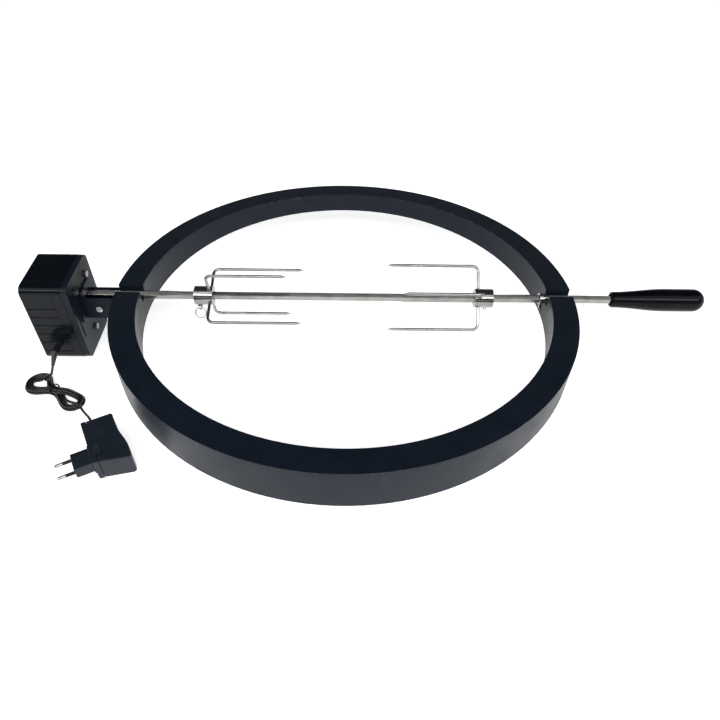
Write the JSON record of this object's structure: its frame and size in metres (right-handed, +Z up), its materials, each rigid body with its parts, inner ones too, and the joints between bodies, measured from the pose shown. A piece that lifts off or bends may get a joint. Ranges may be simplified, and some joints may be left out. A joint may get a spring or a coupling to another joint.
{
  "type": "rotisserie spit roaster",
  "caption": "Rotisserie for a round grill: a wedge-shaped spacer ring with a geared motor on an arm and a hexagonal spit with sliding meat forks.",
  "frame": {"origin": "centre of the ring's flat underside, which rests on the grill's rim", "axes": "+Z up, +X along the spit towards the handle, -Y towards the tall front of the ring"},
  "size_m": [0.8971, 0.6, 0.1238],
  "materials": {
    "powder_coat": "satin",
    "plate_steel": "satin",
    "bright_steel": "polished",
    "stainless": "polished",
    "gloss_case": "gloss",
    "gloss_handle": "gloss",
    "black_plastic": "matte",
    "red_plastic": "gloss",
    "brass": "satin",
    "nylon": "matte",
    "soft_black": "satin",
    "tie_wire": "matte",
    "satin_case": "satin",
    "board": "matte"
  },
  "bodies": {
    "root": {"ring_bottom_plate": "powder_coat", "ring_outer_wall": "powder_coat", "ring_inner_wall": "powder_coat", "ring_top_plate": "powder_coat", "notch_channel_left": "powder_coat", "notch_channel_right": "powder_coat", "ring_bracket": "powder_coat", "motor_arm": "powder_coat", "arm_screws": "bright_steel", "arm_nuts": "bright_steel", "mount_plate": "powder_coat", "plate_washers": "black_plastic", "plate_screws": "bright_steel", "motor_cover": "gloss_case", "motor_case": "gloss_case", "dc_jack": "black_plastic", "switch_bezel": "black_plastic", "gearbox_plate": "plate_steel", "gearbox_pillars": "plate_steel", "lay_axle": "bright_steel", "cover_bush": "brass", "motor_can": "plate_steel", "dc_plug": "soft_black", "dc_plug_boot": "soft_black", "cord_lead_in": "soft_black", "cord_hank": "soft_black", "cord_tie": "tie_wire", "cord_lead_out": "soft_black", "supply_boot": "soft_black", "supply_case": "satin_case", "supply_cover": "satin_case", "supply_board": "board", "supply_transformer": "nylon", "plug_head": "satin_case", "plug_pins": "bright_steel", "pin_sleeves": "black_plastic"},
    "spit": {"spit_rod": "stainless", "handle": "gloss_handle"},
    "drive": {"output_gear": "plate_steel", "drive_socket": "plate_steel"},
    "compound": {"compound_gear": "nylon"},
    "rotor": {"motor_pinion": "brass"},
    "rocker": {"switch_rocker": "red_plastic"},
    "collar": {"rod_collar": "stainless"},
    "collar_screw_body": {"collar_screw": "bright_steel"},
    "fork_left": {"fork_hub_left": "stainless", "fork_prongs_left": "stainless"},
    "fork_right": {"fork_hub_right": "stainless", "fork_prongs_right": "stainless"},
    "thumb_left": {"thumbscrew_left": "bright_steel"},
    "thumb_right": {"thumbscrew_right": "bright_steel"},
    "pull_left": {"pull_ring_left": "bright_steel"},
    "pull_right": {"pull_ring_right": "bright_steel"},
    "latch": {"latch_button": "satin_case"}
  },
  "joints": [
    {"name": "spit_spin", "type": "hinge", "parent": "root", "child": "spit", "pos_m": [0, 0, 0.032], "axis": [1, 0, 0], "continuous": true},
    {"name": "drive_spin", "type": "hinge", "parent": "root", "child": "drive", "pos_m": [-0.36, 0, 0.032], "axis": [1, 0, 0], "continuous": true},
    {"name": "compound_spin", "type": "hinge", "parent": "root", "child": "compound", "pos_m": [-0.364, 0, 0.008], "axis": [1, 0, 0], "continuous": true},
    {"name": "rotor_spin", "type": "hinge", "parent": "root", "child": "rotor", "pos_m": [-0.367, 0, -0.0112], "axis": [1, 0, 0], "continuous": true},
    {"name": "fork_left_slide", "type": "slide", "parent": "spit", "child": "fork_left", "axis": [1, 0, 0], "range_m": [-0.05, 0.06]},
    {"name": "fork_right_slide", "type": "slide", "parent": "spit", "child": "fork_right", "axis": [1, 0, 0], "range_m": [-0.06, 0.05]},
    {"name": "thumb_left_turn", "type": "hinge", "parent": "fork_left", "child": "thumb_left", "pos_m": [-0.193, -0.006, 0.02161], "axis": [0, -0.5, -0.866], "range_deg": [0, 540]},
    {"name": "thumb_right_turn", "type": "hinge", "parent": "fork_right", "child": "thumb_right", "pos_m": [0.189, 0.006, 0.02161], "axis": [0, 0.5, -0.866], "range_deg": [0, 540]},
    {"name": "pull_left_swing", "type": "hinge", "parent": "thumb_left", "child": "pull_left", "pos_m": [-0.193, -0.00825, 0.01771], "axis": [1, 0, 0], "range_deg": [-75, 75]},
    {"name": "pull_right_swing", "type": "hinge", "parent": "thumb_right", "child": "pull_right", "pos_m": [0.189, 0.00825, 0.01771], "axis": [0.342, -0.8138, -0.4698], "range_deg": [-20, 20]},
    {"name": "collar_slide", "type": "slide", "parent": "spit", "child": "collar", "axis": [1, 0, 0], "range_m": [-0.05, 0.003]},
    {"name": "collar_screw_turn", "type": "hinge", "parent": "collar", "child": "collar_screw_body", "pos_m": [0.2605, -0.004, 0.02507], "axis": [0, -0.5, -0.866], "range_deg": [0, 540]},
    {"name": "rocker_tilt", "type": "hinge", "parent": "root", "child": "rocker", "pos_m": [-0.4, 0, 0.03], "axis": [0, 0, -1], "range_deg": [0, 16]},
    {"name": "latch_press", "type": "slide", "parent": "root", "child": "latch", "axis": [0, 0, -1], "range_m": [0, 0.0012], "stiffness_N_per_m": 900}
  ],
  "couplings": [
    {"joint": "drive_spin", "follows": "spit_spin", "ratio": 1},
    {"joint": "compound_spin", "follows": "spit_spin", "ratio": -3},
    {"joint": "rotor_spin", "follows": "spit_spin", "ratio": 9}
  ]
}
